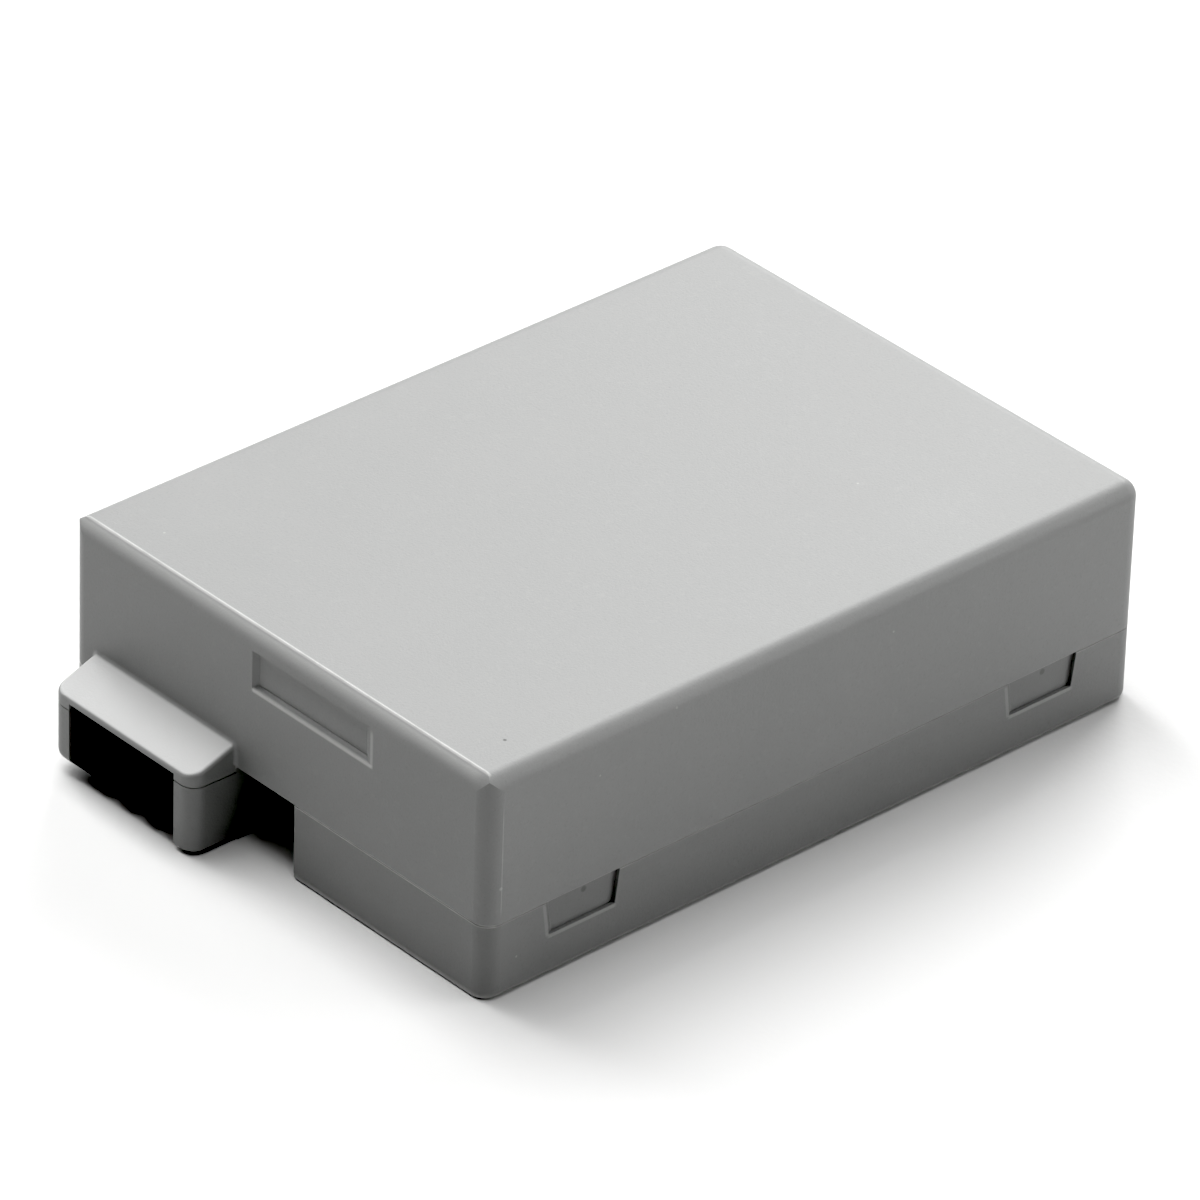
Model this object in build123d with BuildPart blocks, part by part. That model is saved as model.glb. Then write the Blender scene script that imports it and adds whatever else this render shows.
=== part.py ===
from build123d import *
import os
from math import acos, sin

os.makedirs("parts", exist_ok=True)

# Two-cell camera battery. Millimetres, +Z up, terminals towards -Y, origin under the middle of the bounding box.

# Outer case
case_width = 36.0
overall_length = 53.2
case_height = 14.7
parting_height = 4.95
corner_radius = 1.1
top_radius = 1.05
bottom_radius = 0.55
crest_setback = 0.6
crest_radius = 1.3
edge_break = 0.05

# Walls of the two moulded shells
side_wall = 0.9
end_wall = 1.0
floor_wall = 0.8
inner_radius = 0.4
tongue_height = 0.9
tongue_thickness = 0.4
tongue_clearance = 0.05
tongue_start_y = -18.0
rib_width = 0.8
rib_positions = (-8.5, 1.0, 10.5)

# Terminal block on the end face
block_reach = 3.25
block_left_x = -15.85
block_right_x = -3.35
block_corner_radius = 1.0
block_seam_height = 4.6
block_floor_height = 0.25
block_left_floor_height = 0.8
block_left_radius = 0.7
block_edge_radius = 0.2
roof_rear_height = 6.5
roof_front_height = 5.35
roof_edge_radius = 0.28
roof_root_radius = 0.3
window_width = 9.3
window_top_height = 5.05

# Keying notch beside the block
notch_right_x = 1.72
notch_depth = 3.0
notch_wall = 0.8

# Shallow panel on the end face and the bare label recess underneath
panel_left_x = -2.05
panel_right_x = 8.0
panel_bottom_height = 10.88
panel_top_height = 13.35
panel_depth = 0.3
label_width = 29.0
label_length = 40.0
label_radius = 1.5
label_depth = 0.2

# Charger pockets in the long sides
pocket_positions = (-16.2, 19.1)
pocket_top_length = 5.5
pocket_bottom_length = 4.9
pocket_bottom_height = 2.75
pocket_depth = 0.45
pocket_back_wall = 0.95
pocket_ramp = 0.7
dimple_radius = 0.25
dimple_depth = 0.2
dimple_offset_y = 0.55
dimple_height = 4.4

# Terminal housing, a black insert with four slots
housing_clearance = 0.05
housing_setback = 0.15
housing_bottom_height = 1.15
housing_corner_radius = 0.35
flange_thickness = 0.8
flange_overlap = 0.65
flange_top_height = 5.75
terminal_pitch = 2.2
slot_width = 0.65
slot_depth = 3.0
slot_top_height = 4.3

# Terminal contacts, a folded fork in each slot
contact_names = ("contact_plus", "contact_sense", "contact_data", "contact_minus")
contact_sheet = 0.15
contact_setback = 1.1
contact_pinch_gap = 0.12
contact_mouth_gap = 0.26
contact_lip = 0.5
contact_bottom_height = 1.7
contact_top_height = 4.1
contact_clearance = 0.04
tail_width = 0.5
tail_height = 0.6
tail_clearance = 0.05
tail_stand_out = 0.3

# Cells and what packs them
electronics_bay = 4.6
cell_side_gap = 0.1
cell_side_radius = 2.2
cell_can_radius = 0.4
cell_tape = 0.2
floor_pad = 0.3
roof_pad = 0.4
rear_pad = 0.5
pad_length_margin = 6.0
pad_width_margin = 5.0
terminal_button_length = 4.0
terminal_button_width = 2.4
plus_pad_length = 4.0
plus_pad_width = 3.2
plus_pad_x = 10.0
cap_insulation = 0.6
cap_margin = 0.4
cap_window_gap = 0.25

# Nickel straps
strap_sheet = 0.15
strap_width = 3.0
strap_end_x = 14.6
strap_foot = 1.4
tap_width = 2.4

# Protection board
board_thickness = 0.8
board_side_gap = 0.6
board_floor_gap = 0.3
board_top_gap = 0.4
board_notch_gap = 0.2

# Chips on the board: width, height and thickness, then the place across and as a share of the board's height
controller_size = (3.0, 3.0, 0.9)
controller_place = (-1.0, 0.68)
switch_size = (4.4, 3.0, 0.9)
switch_place = (7.0, 0.22)
identity_size = (2.0, 2.0, 0.6)
identity_place = (-9.0, 0.7)
fuse_size = (3.2, 1.6, 0.6)
fuse_place = (9.0, 0.89)
sense_resistor_size = (3.2, 1.6, 0.6)
sense_resistor_place = (7.0, 0.53)
chip_size = (1.0, 0.5, 0.5)
chip_pitch = 1.5
capacitor_place = (-5.6, 0.9)
capacitor_count = 4
resistor_place = (-6.2, 0.5)
resistor_count = 5
lead_count = 4
lead_pitch = 1.05
lead_width = 0.25
lead_reach = 0.7
lead_sheet = 0.15
chip_edge = 0.1
breaker_size = (5.0, 2.6, 0.9)
breaker_x = 11.0
thermistor_size = (2.6, 1.4, 0.5)
thermistor_x = -5.0

# Places that follow from the sizes above
rear_y = overall_length / 2
block_front_y = -overall_length / 2
front_y = block_front_y + block_reach
middle_y = (front_y + rear_y) / 2
case_length = rear_y - front_y
inner_x = case_width / 2 - side_wall
inner_front_y = front_y + end_wall
inner_rear_y = rear_y - end_wall
inner_top = case_height - floor_wall
block_middle_x = (block_left_x + block_right_x) / 2
window_left_x = block_middle_x - window_width / 2
window_right_x = block_middle_x + window_width / 2
notch_rear_y = front_y + notch_depth
pocket_boss_x = case_width / 2 - pocket_depth - pocket_back_wall
rib_depth = inner_x - pocket_boss_x
cell_width = 2 * (pocket_boss_x - cell_side_gap)
cell_front_y = inner_front_y + electronics_bay
cell_rear_y = inner_rear_y - rear_pad
cell_length = cell_rear_y - cell_front_y
cell_thickness = (inner_top - floor_wall - floor_pad - cell_tape - roof_pad) / 2
lower_cell_bottom = floor_wall + floor_pad
lower_cell_middle = lower_cell_bottom + cell_thickness / 2
upper_cell_bottom = lower_cell_bottom + cell_thickness + cell_tape
upper_cell_middle = upper_cell_bottom + cell_thickness / 2
board_bottom = floor_wall + board_floor_gap
board_height = inner_top - board_top_gap - board_bottom
flange_rear_y = inner_front_y + flange_thickness
board_rear_y = flange_rear_y + board_thickness
cap_front_y = cell_front_y - cap_insulation
strap_front_y = cap_front_y - strap_sheet
housing_front_y = block_front_y + housing_setback
slot_rear_y = housing_front_y + slot_depth
contact_rear_y = slot_rear_y - contact_clearance
contact_middle_height = (contact_bottom_height + contact_top_height) / 2
terminal_positions = [
    block_middle_x + (i - (len(contact_names) - 1) / 2) * terminal_pitch for i in range(len(contact_names))
]
tape_middle_height = upper_cell_bottom - cell_tape / 2


def slab(x_span, y_span, z_span, radius=0.0, mode=Mode.ADD):
    # An upright block between two heights, with its upright edges rounded where a radius is given.
    with BuildSketch(Plane.XY.offset(z_span[0])) as outline:
        with Locations((sum(x_span) / 2, sum(y_span) / 2)):
            if radius:
                RectangleRounded(x_span[1] - x_span[0], y_span[1] - y_span[0], radius)
            else:
                Rectangle(x_span[1] - x_span[0], y_span[1] - y_span[0])
    extrude(outline.sketch, amount=z_span[1] - z_span[0], mode=mode)


def plate(x_span, y_span, z_span, mode=Mode.ADD):
    # A thin plate standing across the battery, drawn on the face that looks to the rear.
    with BuildSketch(Plane.XZ.offset(-y_span[1])) as outline:
        with Locations((sum(x_span) / 2, sum(z_span) / 2)):
            Rectangle(x_span[1] - x_span[0], z_span[1] - z_span[0])
    extrude(outline.sketch, amount=y_span[1] - y_span[0], mode=mode)


def write(piece, name):
    piece.part.label = name
    export_step(piece.part, f"parts/{name}.step")


# Outer form of the case. Sides, rear and top run out smoothly into each other; at the terminal end
# a longer arc comes up and meets the flat top in a crisp crest.
nose_stock = 5.0
with BuildPart() as case_envelope:
    with BuildSketch():
        with Locations((0, middle_y - nose_stock / 2)):
            Rectangle(case_width, case_length + nose_stock)
        fillet(vertices().group_by(Axis.Y)[-1], corner_radius)
    extrude(amount=case_height)
    fillet(edges().group_by(Axis.Z)[-1].sort_by(Axis.Y)[1:], top_radius)
    crest_rise = crest_radius * sin(acos(1 - crest_setback / crest_radius))
    arc_foot = case_height - crest_rise
    with BuildSketch(Plane.YZ):
        with BuildLine():
            Line((front_y, -1), (front_y, arc_foot))
            RadiusArc((front_y, arc_foot), (front_y + crest_radius, arc_foot + crest_radius), crest_radius)
            Polyline(
                (front_y + crest_radius, arc_foot + crest_radius),
                (rear_y + 1, arc_foot + crest_radius),
                (rear_y + 1, -1),
                (front_y, -1),
            )
        make_face()
    extrude(amount=case_width, both=True, mode=Mode.INTERSECT)
    slab((-case_width / 2, case_width / 2), (front_y, rear_y), (0, case_height), corner_radius, Mode.INTERSECT)
    fillet(edges().group_by(Axis.Z)[0], bottom_radius)

# Outer form of the terminal block: rounded front corners and a roof that falls towards the front.
with BuildPart() as block_envelope:
    with BuildSketch():
        with Locations((block_middle_x, (block_front_y + inner_front_y) / 2)):
            Rectangle(block_right_x - block_left_x, inner_front_y - block_front_y)
        fillet(vertices().group_by(Axis.Y)[0], block_corner_radius)
    extrude(amount=case_height)
    roof_slope = (roof_rear_height - roof_front_height) / block_reach
    with BuildSketch(Plane.YZ):
        with BuildLine():
            Polyline(
                (block_front_y, block_floor_height),
                (block_front_y, roof_front_height),
                (inner_front_y, roof_rear_height + roof_slope * end_wall),
                (inner_front_y, block_floor_height),
                close=True,
            )
        make_face()
    extrude(amount=case_width, both=True, mode=Mode.INTERSECT)
    roof_edges = edges().filter_by(lambda e: e.center().Z > roof_front_height - 0.01)
    fillet(roof_edges.sort_by(Axis.Y)[:-1], roof_edge_radius)

# The block's roof and the upper edge of its flanks belong to the upper shell.
with BuildPart() as block_cap:
    add(block_envelope.part)
    split(bisect_by=Plane.XY.offset(block_seam_height), keep=Keep.TOP)
    chamfer(edges().group_by(Axis.Z)[0].sort_by(Axis.Y)[:-1], edge_break)
    slab(
        (block_left_x, block_right_x),
        (front_y, inner_front_y),
        (block_seam_height, parting_height),
        mode=Mode.SUBTRACT,
    )

# Its two side walls belong to the lower shell. The left one stops higher and is rounded underneath.
with BuildPart() as block_walls:
    add(block_envelope.part)
    split(bisect_by=Plane.XY.offset(block_seam_height), keep=Keep.BOTTOM)
    chamfer(edges().group_by(Axis.Z)[-1].sort_by(Axis.Y)[:-1], edge_break)
    slab(
        (block_left_x, window_left_x),
        (block_front_y, inner_front_y),
        (0, block_left_floor_height),
        mode=Mode.SUBTRACT,
    )
    left_underside = edges().filter_by_position(Axis.Z, block_left_floor_height - 0.01, block_left_floor_height + 0.01)
    fillet(left_underside.sort_by(Axis.X)[:2], block_left_radius)
    underside = edges().group_by(Axis.Z)[0]
    fillet(underside.filter_by_position(Axis.X, window_right_x, block_right_x), block_edge_radius)

pocket_face_x = case_width / 2
side_ribs_x = (inner_x - rib_depth, inner_x)


def both_sides(x_span):
    # One span on the +X side and its mirror image on the -X side.
    return (x_span, (-x_span[1], -x_span[0]))


# Upper shell: a deep lid with the panel in its end face, the block's roof and the ceiling of the notch.
with BuildPart() as upper_shell:
    add(case_envelope.part)
    split(bisect_by=Plane.XY.offset(parting_height), keep=Keep.TOP)
    chamfer(edges().group_by(Axis.Z)[0], edge_break)
    add(block_cap.part)
    root_edges = edges().filter_by(Axis.X).filter_by_position(Axis.Z, roof_rear_height - 0.01, roof_rear_height + 0.01)
    fillet(root_edges, roof_root_radius)
    slab(
        (-inner_x, inner_x),
        (inner_front_y, inner_rear_y),
        (0, inner_top),
        inner_radius,
        Mode.SUBTRACT,
    )
    rabbet_x = inner_x + tongue_thickness + tongue_clearance
    slab(
        (-rabbet_x, rabbet_x),
        (tongue_start_y - tongue_clearance, inner_rear_y + tongue_thickness + tongue_clearance),
        (0, parting_height + tongue_height + tongue_clearance),
        inner_radius,
        Mode.SUBTRACT,
    )
    slab(
        (window_left_x, window_right_x),
        (block_front_y - 1, inner_front_y),
        (0, window_top_height),
        mode=Mode.SUBTRACT,
    )
    with BuildSketch(Plane.XZ.offset(-front_y)):
        with Locations(((panel_left_x + panel_right_x) / 2, (panel_bottom_height + panel_top_height) / 2)):
            Rectangle(panel_right_x - panel_left_x, panel_top_height - panel_bottom_height)
    extrude(amount=-panel_depth, mode=Mode.SUBTRACT)
    slab(
        (block_right_x - notch_wall, notch_right_x + notch_wall),
        (inner_front_y, notch_rear_y + notch_wall),
        (parting_height, parting_height + notch_wall),
    )
    rib_foot = parting_height + tongue_height + 2 * tongue_clearance
    for rib_y in rib_positions:
        for rib_x in both_sides(side_ribs_x):
            slab(rib_x, (rib_y - rib_width / 2, rib_y + rib_width / 2), (rib_foot, inner_top))
write(upper_shell, "upper_shell")

# Lower shell: a tray with a tongue along its rim, the block's side walls, the notch and the pockets.
with BuildPart() as lower_shell:
    add(case_envelope.part)
    split(bisect_by=Plane.XY.offset(parting_height), keep=Keep.BOTTOM)
    chamfer(edges().group_by(Axis.Z)[-1], edge_break)
    add(block_walls.part)
    tongue_x = inner_x + tongue_thickness
    slab(
        (-tongue_x, tongue_x),
        (tongue_start_y, inner_rear_y + tongue_thickness),
        (parting_height, parting_height + tongue_height),
        inner_radius,
    )
    slab(
        (-inner_x, inner_x),
        (inner_front_y, inner_rear_y),
        (floor_wall, case_height),
        inner_radius,
        Mode.SUBTRACT,
    )
    slab(
        (block_right_x - notch_wall, notch_right_x + notch_wall),
        (inner_front_y, notch_rear_y + notch_wall),
        (floor_wall, parting_height),
    )
    slab(
        (block_right_x, notch_right_x),
        (block_front_y, notch_rear_y),
        (-1, case_height),
        mode=Mode.SUBTRACT,
    )
    slab(
        (window_left_x, window_right_x),
        (block_front_y - 1, front_y),
        (-1, case_height),
        mode=Mode.SUBTRACT,
    )
    slab(
        (window_left_x, window_right_x),
        (front_y, inner_front_y),
        (housing_bottom_height - housing_clearance, case_height),
        mode=Mode.SUBTRACT,
    )
    for pocket_y in pocket_positions:
        for boss_x in both_sides(side_ribs_x):
            slab(
                boss_x,
                (pocket_y - pocket_top_length / 2, pocket_y + pocket_top_length / 2),
                (floor_wall, parting_height),
            )
    for rib_y in rib_positions:
        for rib_x in both_sides(side_ribs_x):
            slab(rib_x, (rib_y - rib_width / 2, rib_y + rib_width / 2), (floor_wall, parting_height))
    with BuildSketch():
        with Locations((0, middle_y)):
            RectangleRounded(label_width, label_length, label_radius)
    extrude(amount=label_depth, mode=Mode.SUBTRACT)
    for side in (-1, 1):
        for pocket_y in pocket_positions:
            rear_end = pocket_y + pocket_bottom_length / 2
            front_end = pocket_y - pocket_bottom_length / 2
            with BuildSketch(Plane.YZ.offset(side * pocket_face_x)) as pocket_mouth:
                Polygon(
                    (pocket_y - pocket_top_length / 2, parting_height),
                    (front_end, pocket_bottom_height),
                    (rear_end, pocket_bottom_height),
                    (pocket_y + pocket_top_length / 2, parting_height),
                    align=None,
                )
            with BuildSketch(Plane.YZ.offset(side * (pocket_face_x - pocket_depth))) as pocket_back:
                Polygon(
                    (pocket_y - pocket_top_length / 2 + pocket_ramp, parting_height),
                    (front_end + pocket_ramp, pocket_bottom_height),
                    (rear_end, pocket_bottom_height),
                    (pocket_y + pocket_top_length / 2, parting_height),
                    align=None,
                )
            loft([pocket_mouth.sketch.face(), pocket_back.sketch.face()], ruled=True, mode=Mode.SUBTRACT)
            with BuildSketch(Plane.YZ.offset(side * (pocket_face_x - pocket_depth))):
                with Locations((pocket_y + dimple_offset_y, dimple_height)):
                    Circle(dimple_radius)
            extrude(amount=-side * dimple_depth, mode=Mode.SUBTRACT)
write(lower_shell, "lower_shell")

# Terminal housing: a nose that fills the block's window and a flange that holds it behind the end wall.
with BuildPart() as terminal_housing:
    with BuildSketch(Plane.XZ.offset(-inner_front_y)):
        nose_left_x = window_left_x + housing_clearance
        nose_right_x = window_right_x - housing_clearance
        nose_top_height = window_top_height - housing_clearance
        with Locations((block_middle_x, (housing_bottom_height + nose_top_height) / 2)):
            Rectangle(nose_right_x - nose_left_x, nose_top_height - housing_bottom_height)
        lower_corners = vertices().group_by(Axis.Y)[0]
        fillet(lower_corners.sort_by(Axis.X)[0], housing_corner_radius)
    extrude(amount=inner_front_y - housing_front_y)
    plate(
        (window_left_x - flange_overlap, window_right_x + flange_overlap),
        (inner_front_y, flange_rear_y),
        (floor_wall + housing_clearance, flange_top_height),
    )
    for terminal_x in terminal_positions:
        slab(
            (terminal_x - slot_width / 2, terminal_x + slot_width / 2),
            (block_front_y - 1, slot_rear_y),
            (-1, slot_top_height),
            mode=Mode.SUBTRACT,
        )
        slab(
            (terminal_x - tail_width / 2 - tail_clearance, terminal_x + tail_width / 2 + tail_clearance),
            (slot_rear_y, flange_rear_y),
            (
                contact_middle_height - tail_height / 2 - tail_clearance,
                contact_middle_height + tail_height / 2 + tail_clearance,
            ),
            mode=Mode.SUBTRACT,
        )
write(terminal_housing, "terminal_housing")

# Contacts: two spring blades that close towards a pinch and open again at the mouth, on a back plate with a tail.
blade_foot_x = slot_width / 2 - contact_clearance
blade_front_y = housing_front_y + contact_setback
blade_profile = (
    (blade_foot_x, contact_rear_y),
    (contact_pinch_gap / 2 + contact_sheet, blade_front_y + contact_lip),
    (contact_mouth_gap / 2 + contact_sheet, blade_front_y),
)
for contact_name, terminal_x in zip(contact_names, terminal_positions):
    with BuildPart() as contact:
        for side in (-1, 1):
            outer_points = [(terminal_x + side * x, y) for x, y in blade_profile]
            inner_points = [(terminal_x + side * (x - contact_sheet), y) for x, y in reversed(blade_profile)]
            with BuildSketch(Plane.XY.offset(contact_bottom_height)):
                Polygon(*outer_points, *inner_points, align=None)
            extrude(amount=contact_top_height - contact_bottom_height)
        slab(
            (terminal_x - blade_foot_x, terminal_x + blade_foot_x),
            (contact_rear_y - contact_sheet, contact_rear_y),
            (contact_bottom_height, contact_top_height),
        )
        slab(
            (terminal_x - tail_width / 2, terminal_x + tail_width / 2),
            (contact_rear_y, board_rear_y + tail_stand_out),
            (contact_middle_height - tail_height / 2, contact_middle_height + tail_height / 2),
        )
    write(contact, contact_name)

# Protection board, cut out round the notch and drilled for the contact tails.
with BuildPart() as circuit_board:
    board_half_width = inner_x - board_side_gap
    plate(
        (-board_half_width, board_half_width),
        (flange_rear_y, board_rear_y),
        (board_bottom, board_bottom + board_height),
    )
    plate(
        (block_right_x - notch_wall - board_notch_gap, notch_right_x + notch_wall + board_notch_gap),
        (flange_rear_y, board_rear_y),
        (0, parting_height + notch_wall + board_notch_gap),
        Mode.SUBTRACT,
    )
    for terminal_x in terminal_positions:
        plate(
            (terminal_x - tail_width / 2 - tail_clearance, terminal_x + tail_width / 2 + tail_clearance),
            (flange_rear_y, board_rear_y),
            (
                contact_middle_height - tail_height / 2 - tail_clearance,
                contact_middle_height + tail_height / 2 + tail_clearance,
            ),
            Mode.SUBTRACT,
        )
write(circuit_board, "circuit_board")


def chip(place, size, face_y, direction=1):
    # A small flat body on a face at one y, with its free edges broken. Direction -1 puts it on a front face.
    with BuildSketch(Plane.XZ.offset(-face_y)) as outline:
        with Locations(place):
            Rectangle(size[0], size[1])
    extrude(outline.sketch, amount=-direction * size[2])
    free_face = faces(Select.LAST).sort_by(Axis.Y)[-1 if direction > 0 else 0]
    chamfer(free_face.edges(), chip_edge)


def on_board(place):
    # The middle of a chip on the board, from its place across and its share of the board's height.
    return (place[0], board_bottom + place[1] * board_height)


single_chips = (
    ("protection_controller", controller_place, controller_size),
    ("identity_chip", identity_place, identity_size),
    ("current_fuse", fuse_place, fuse_size),
    ("sense_resistor", sense_resistor_place, sense_resistor_size),
)
for chip_name, place, size in single_chips:
    with BuildPart() as single_chip:
        chip(on_board(place), size, board_rear_y)
    write(single_chip, chip_name)

chip_rows = (
    ("chip_capacitors", capacitor_place, capacitor_count),
    ("chip_resistors", resistor_place, resistor_count),
)
for row_name, place, count in chip_rows:
    with BuildPart() as chip_row:
        row_x, row_height = on_board(place)
        for i in range(count):
            chip((row_x + (i - (count - 1) / 2) * chip_pitch, row_height), chip_size, board_rear_y)
    write(chip_row, row_name)

# Power switch with a row of flat leads above and below its body.
with BuildPart() as power_switch:
    switch_x, switch_height = on_board(switch_place)
    chip((switch_x, switch_height), switch_size, board_rear_y)
    for i in range(lead_count):
        lead_x = switch_x + (i - (lead_count - 1) / 2) * lead_pitch
        for edge in (-1, 1):
            body_edge = switch_height + edge * switch_size[1] / 2
            plate(
                (lead_x - lead_width / 2, lead_x + lead_width / 2),
                (board_rear_y, board_rear_y + lead_sheet),
                sorted((body_edge - edge * chip_edge, body_edge + edge * lead_reach)),
            )
write(power_switch, "power_switch")

# Cells: sealed cans with rounded flanks. Each has its negative button in the middle and a positive pad to one side.
cells = (
    ("cell_lower", lower_cell_middle, -plus_pad_x),
    ("cell_upper", upper_cell_middle, plus_pad_x),
)
for cell_name, middle_height, pad_x in cells:
    with BuildPart() as cell:
        with BuildSketch(Plane.XZ.offset(-cell_front_y)):
            with Locations((0, middle_height)):
                RectangleRounded(cell_width, cell_thickness, cell_side_radius)
        extrude(amount=-cell_length)
        end_faces = faces().sort_by(Axis.Y)
        fillet(end_faces[0].edges() + end_faces[-1].edges(), cell_can_radius)
        plate(
            (-terminal_button_length / 2, terminal_button_length / 2),
            (cap_front_y, cell_front_y),
            (middle_height - terminal_button_width / 2, middle_height + terminal_button_width / 2),
        )
        plate(
            (pad_x - plus_pad_length / 2, pad_x + plus_pad_length / 2),
            (cap_front_y, cell_front_y),
            (middle_height - plus_pad_width / 2, middle_height + plus_pad_width / 2),
        )
    write(cell, cell_name)

# Fibre insulator over the ends of both cells, with a window for each button and pad.
with BuildPart() as cap_insulator:
    cap_half_width = cell_width / 2 - cap_margin
    plate(
        (-cap_half_width, cap_half_width),
        (cap_front_y, cell_front_y),
        (lower_cell_bottom + cap_margin, upper_cell_bottom + cell_thickness - cap_margin),
    )
    for cell_name, middle_height, pad_x in cells:
        windows = (
            (0, terminal_button_length, terminal_button_width),
            (pad_x, plus_pad_length, plus_pad_width),
        )
        for x, length, width in windows:
            plate(
                (x - length / 2 - cap_window_gap, x + length / 2 + cap_window_gap),
                (cap_front_y, cell_front_y),
                (middle_height - width / 2 - cap_window_gap, middle_height + width / 2 + cap_window_gap),
                Mode.SUBTRACT,
            )
write(cap_insulator, "cap_insulator")


def strap_to_board(start_x, end_x, middle_height, width):
    # A strip on the insulator that turns forward at its end and stands on the board with a short foot.
    low = middle_height - width / 2
    high = middle_height + width / 2
    inward = -1 if end_x > 0 else 1
    plate(sorted((start_x, end_x)), (strap_front_y, cap_front_y), (low, high))
    plate(sorted((end_x + inward * strap_sheet, end_x)), (board_rear_y, cap_front_y), (low, high))
    plate(sorted((end_x + inward * strap_foot, end_x)), (board_rear_y, board_rear_y + strap_sheet), (low, high))


with BuildPart() as strap_plus:
    strap_to_board(plus_pad_x - plus_pad_length / 2, strap_end_x, upper_cell_middle, strap_width)
write(strap_plus, "strap_plus")

with BuildPart() as strap_minus:
    strap_to_board(-terminal_button_length / 2, strap_end_x, lower_cell_middle, strap_width)
write(strap_minus, "strap_minus")

# The series strap runs from the upper button to the lower pad; the centre tap starts at its edge.
series_left_x = -plus_pad_x - strap_width / 2
with BuildPart() as strap_series:
    plate(
        (series_left_x, terminal_button_length / 2),
        (strap_front_y, cap_front_y),
        (upper_cell_middle - strap_width / 2, upper_cell_middle + strap_width / 2),
    )
    plate(
        (series_left_x, series_left_x + strap_width),
        (strap_front_y, cap_front_y),
        (lower_cell_middle - strap_width / 2, upper_cell_middle),
    )
write(strap_series, "strap_series")

with BuildPart() as strap_centre_tap:
    strap_to_board(series_left_x, -strap_end_x, tape_middle_height, tap_width)
write(strap_centre_tap, "strap_centre_tap")

with BuildPart() as thermal_cutoff:
    chip((breaker_x, upper_cell_middle), breaker_size, strap_front_y, -1)
write(thermal_cutoff, "thermal_cutoff")

with BuildPart() as thermistor:
    chip((thermistor_x, lower_cell_middle), thermistor_size, cap_front_y, -1)
write(thermistor, "thermistor")

# Tape between the cells and the foam pads round them.
pad_half_width = cell_width / 2 - pad_width_margin
pad_y = (cell_front_y + pad_length_margin, cell_rear_y - pad_length_margin)
flat_packing = (
    ("bottom_pad", floor_wall, lower_cell_bottom),
    ("cell_tape", lower_cell_bottom + cell_thickness, upper_cell_bottom),
    ("top_pad", upper_cell_bottom + cell_thickness, inner_top),
)
for pad_name, low, high in flat_packing:
    with BuildPart() as flat_pad:
        slab((-pad_half_width, pad_half_width), pad_y, (low, high))
    write(flat_pad, pad_name)

with BuildPart() as end_pad:
    plate(
        (-pad_half_width, pad_half_width),
        (cell_rear_y, inner_rear_y),
        (lower_cell_middle, upper_cell_middle),
    )
write(end_pad, "end_pad")
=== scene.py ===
import math

import bmesh
import bpy
from mathutils import Matrix, Vector


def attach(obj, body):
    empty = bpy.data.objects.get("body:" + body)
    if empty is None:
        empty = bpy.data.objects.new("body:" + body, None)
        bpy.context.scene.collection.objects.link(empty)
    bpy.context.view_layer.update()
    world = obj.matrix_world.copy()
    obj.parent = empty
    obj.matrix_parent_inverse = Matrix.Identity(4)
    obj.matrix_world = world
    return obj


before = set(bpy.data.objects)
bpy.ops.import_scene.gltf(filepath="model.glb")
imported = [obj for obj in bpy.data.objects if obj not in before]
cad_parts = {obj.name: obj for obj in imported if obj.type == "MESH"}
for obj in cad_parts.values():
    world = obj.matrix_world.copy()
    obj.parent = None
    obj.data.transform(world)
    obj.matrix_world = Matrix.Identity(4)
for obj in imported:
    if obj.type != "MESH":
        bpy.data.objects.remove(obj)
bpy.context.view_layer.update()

mm = 0.001
print("stage: frame loaded with", len(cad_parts), "nodes")

# landmarks of the case in millimetres, in the CAD's own frame
case = {
    "halfWidth": 18.0,
    "frontY": -23.35,
    "height": 14.7,
    "seamHeight": 4.95,
    "crestY": -22.75,
    "cornerRadius": 1.1,
}
# the shallow panel in the end face, and the pockets in the long sides
panel = {"left": -2.05, "right": 8.0, "bottom": 10.88, "top": 13.35, "depth": 0.3}
pocket = {"centresY": (-16.2, 19.1), "mouthHalf": 2.75, "bottom": 2.75, "slant": 0.3 / 2.2, "faceX": 17.75}


class Signal:
    # one output socket, so that shader maths reads as an expression
    def __init__(self, sheet, socket):
        self.sheet = sheet
        self.socket = socket

    def maths(self, operation, first, second):
        return self.sheet.add("ShaderNodeMath", {"operation": operation}, {0: first, 1: second})

    def __add__(self, other):
        return self.maths("ADD", self, other)

    def __radd__(self, other):
        return self.maths("ADD", other, self)

    def __sub__(self, other):
        return self.maths("SUBTRACT", self, other)

    def __rsub__(self, other):
        return self.maths("SUBTRACT", other, self)

    def __mul__(self, other):
        return self.maths("MULTIPLY", self, other)

    def __rmul__(self, other):
        return self.maths("MULTIPLY", other, self)


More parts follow.
